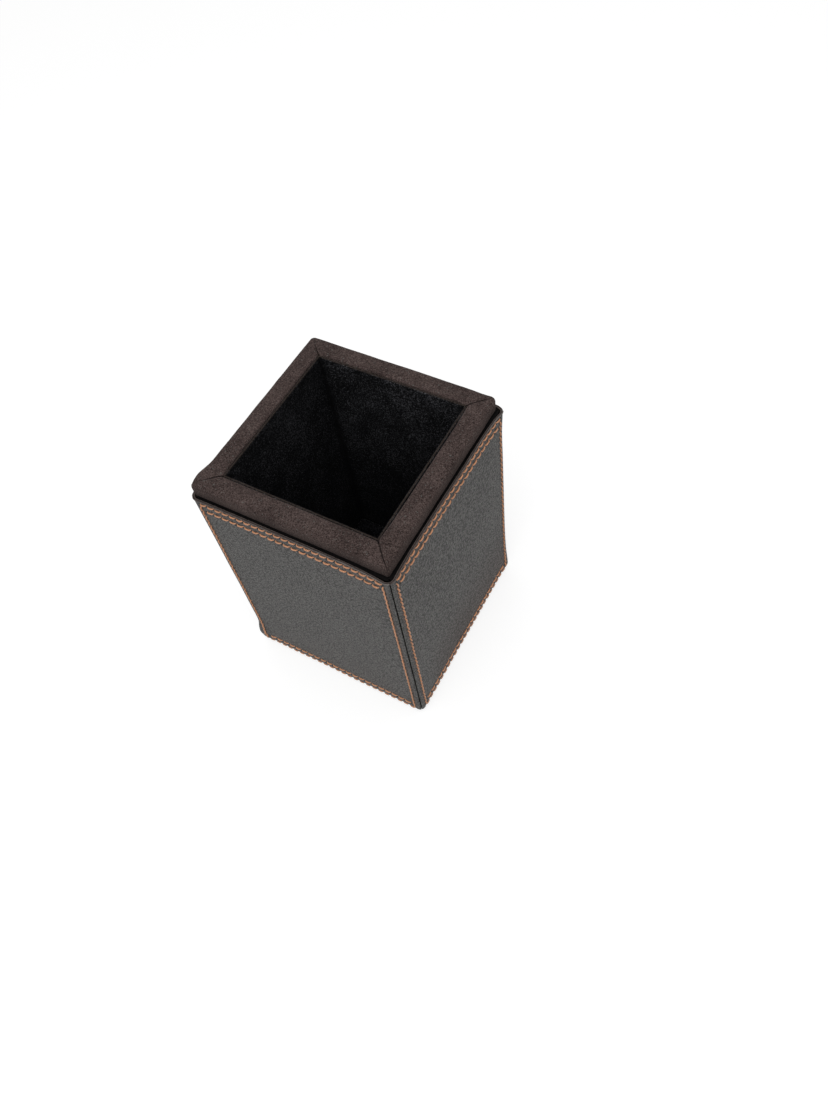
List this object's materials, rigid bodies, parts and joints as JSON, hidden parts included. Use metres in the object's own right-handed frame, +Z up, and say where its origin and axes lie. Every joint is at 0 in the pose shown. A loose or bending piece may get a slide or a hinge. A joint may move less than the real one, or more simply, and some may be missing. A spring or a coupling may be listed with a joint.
{
  "type": "pen stand",
  "caption": "Square open pen stand in stitched dark leather, with a raised mitred suede rim and a velvet-lined inside.",
  "frame": {"origin": "middle of the footprint, on the surface that the felt base stands on", "axes": "+Z up out of the opening; the front wall faces -Y and the right wall faces +X, the two walls that the picture shows"},
  "size_m": [0.0812, 0.0812, 0.1114],
  "materials": {
    "leather": "fine pebble grain, satin",
    "thread": "thick waxed thread, copper",
    "suede": "napped suede, matt",
    "velvet": "short-pile velvet, black",
    "dyed_board": "fibreboard, dyed black",
    "rim_board": "fibreboard, bare",
    "fibre_backing": "bonded fibre sheet",
    "card": "grey card",
    "felt": "pressed felt, black"
  },
  "bodies": {
    "root": {"base_board": "dyed_board", "base_pad": "felt", "floor_pad": "velvet", "lining_card_back": "card", "lining_card_front": "card", "lining_card_left": "card", "lining_card_right": "card", "lining_velvet_back": "velvet", "lining_velvet_front": "velvet", "lining_velvet_left": "velvet", "lining_velvet_right": "velvet", "panel_backing_back": "fibre_backing", "panel_backing_front": "fibre_backing", "panel_backing_left": "fibre_backing", "panel_backing_right": "fibre_backing", "panel_leather_back": "leather", "panel_leather_front": "leather", "panel_leather_left": "leather", "panel_leather_right": "leather", "rim_bar_back": "rim_board", "rim_bar_front": "rim_board", "rim_bar_left": "rim_board", "rim_bar_right": "rim_board", "rim_suede_back": "suede", "rim_suede_front": "suede", "rim_suede_left": "suede", "rim_suede_right": "suede", "stitching_back": "thread", "stitching_front": "thread", "stitching_left": "thread", "stitching_right": "thread", "wall_board_back": "dyed_board", "wall_board_front": "dyed_board", "wall_board_left": "dyed_board", "wall_board_right": "dyed_board"}
  },
  "joints": []
}
